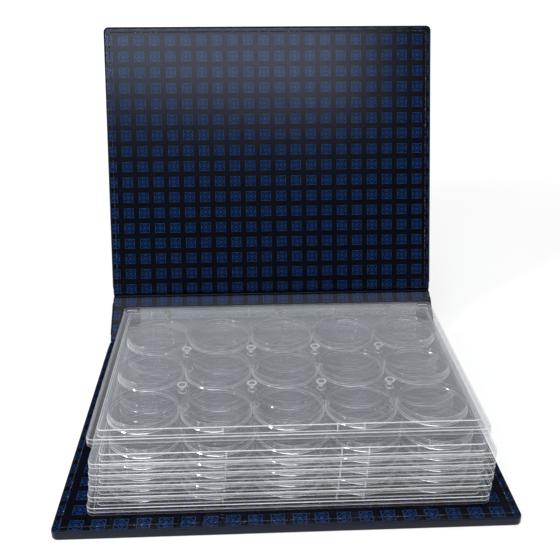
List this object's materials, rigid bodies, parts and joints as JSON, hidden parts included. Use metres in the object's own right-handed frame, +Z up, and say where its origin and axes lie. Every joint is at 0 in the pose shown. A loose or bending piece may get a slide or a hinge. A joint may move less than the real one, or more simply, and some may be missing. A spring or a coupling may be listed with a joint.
{
  "type": "coin album",
  "caption": "Coin album with padded board covers and nested rigid clear pages of round coin pockets, shown open with the front cover raised.",
  "frame": {"origin": "centre of the back cover's underside", "axes": "+X along the spine to the right seen from the fore-edge, +Y from the fore-edge to the spine, +Z up"},
  "size_m": [0.27, 0.3298, 0.241],
  "materials": {
    "board": "matte",
    "cover_skin": "satin",
    "lining": "satin",
    "clear_page": "gloss",
    "hinge_film": "satin",
    "eyelet": "polished",
    "strip": "satin",
    "screw": "satin"
  },
  "bodies": {
    "back_cover": {"back_cover_board": "board", "back_cover_skin": "cover_skin", "back_cover_lining": "lining", "back_gutter": "cover_skin", "binding_base": "strip", "binding_clamp": "strip", "binding_screws": "screw", "page_6_hinge": "hinge_film"},
    "spine": {"spine_board": "board", "spine_skin": "cover_skin", "spine_lining": "lining", "front_gutter": "cover_skin"},
    "front_cover": {"front_cover_board": "board", "front_cover_skin": "cover_skin", "front_cover_lining": "lining"},
    "page_6": {"page_6_tray": "clear_page", "page_6_lid": "clear_page", "page_6_eyelets": "eyelet", "page_5_hinge": "hinge_film"},
    "page_5": {"page_5_tray": "clear_page", "page_5_lid": "clear_page", "page_5_eyelets": "eyelet", "page_4_hinge": "hinge_film"},
    "page_4": {"page_4_tray": "clear_page", "page_4_lid": "clear_page", "page_4_eyelets": "eyelet", "page_3_hinge": "hinge_film"},
    "page_3": {"page_3_tray": "clear_page", "page_3_lid": "clear_page", "page_3_eyelets": "eyelet", "page_2_hinge": "hinge_film"},
    "page_2": {"page_2_tray": "clear_page", "page_2_lid": "clear_page", "page_2_eyelets": "eyelet", "page_1_hinge": "hinge_film"},
    "page_1": {"page_1_tray": "clear_page", "page_1_eyelets": "eyelet"},
    "page_1_lid": {"page_1_lid": "clear_page"}
  },
  "joints": [
    {"name": "spine_hinge", "type": "hinge", "parent": "back_cover", "child": "spine", "pos_m": [0, 0.11325, 0.003], "axis": [-1, 0, 0], "range_deg": [-52.2, 37.8], "deforming": ["back_gutter"]},
    {"name": "front_cover_hinge", "type": "hinge", "parent": "spine", "child": "front_cover", "pos_m": [0, 0.14778, 0.02978], "axis": [-1, 0, 0], "range_deg": [-42.9, 33.64], "deforming": ["front_gutter"]},
    {"name": "page_6_turn", "type": "hinge", "parent": "back_cover", "child": "page_6", "pos_m": [0, 0.07355, 0.00855], "axis": [-1, 0, 0], "range_deg": [0, 7], "deforming": ["page_6_hinge"]},
    {"name": "page_5_turn", "type": "hinge", "parent": "page_6", "child": "page_5", "pos_m": [0, 0.07472, 0.01542], "axis": [-1, 0, 0], "range_deg": [0, 7], "deforming": ["page_5_hinge"]},
    {"name": "page_4_turn", "type": "hinge", "parent": "page_5", "child": "page_4", "pos_m": [0, 0.0759, 0.0223], "axis": [-1, 0, 0], "range_deg": [0, 7], "deforming": ["page_4_hinge"]},
    {"name": "page_3_turn", "type": "hinge", "parent": "page_4", "child": "page_3", "pos_m": [0, 0.07708, 0.02917], "axis": [-1, 0, 0], "range_deg": [0, 7], "deforming": ["page_3_hinge"]},
    {"name": "page_2_turn", "type": "hinge", "parent": "page_3", "child": "page_2", "pos_m": [0, 0.07825, 0.03605], "axis": [-1, 0, 0], "range_deg": [0, 7], "deforming": ["page_2_hinge"]},
    {"name": "page_1_turn", "type": "hinge", "parent": "page_2", "child": "page_1", "pos_m": [0, 0.08765, 0.04615], "axis": [-1, 0, 0], "range_deg": [0, 100], "deforming": ["page_1_hinge"]},
    {"name": "page_1_lid_opening", "type": "hinge", "parent": "page_1", "child": "page_1_lid", "pos_m": [0, 0.08765, 0.04615], "axis": [-1, 0, 0], "range_deg": [0, 45]}
  ]
}
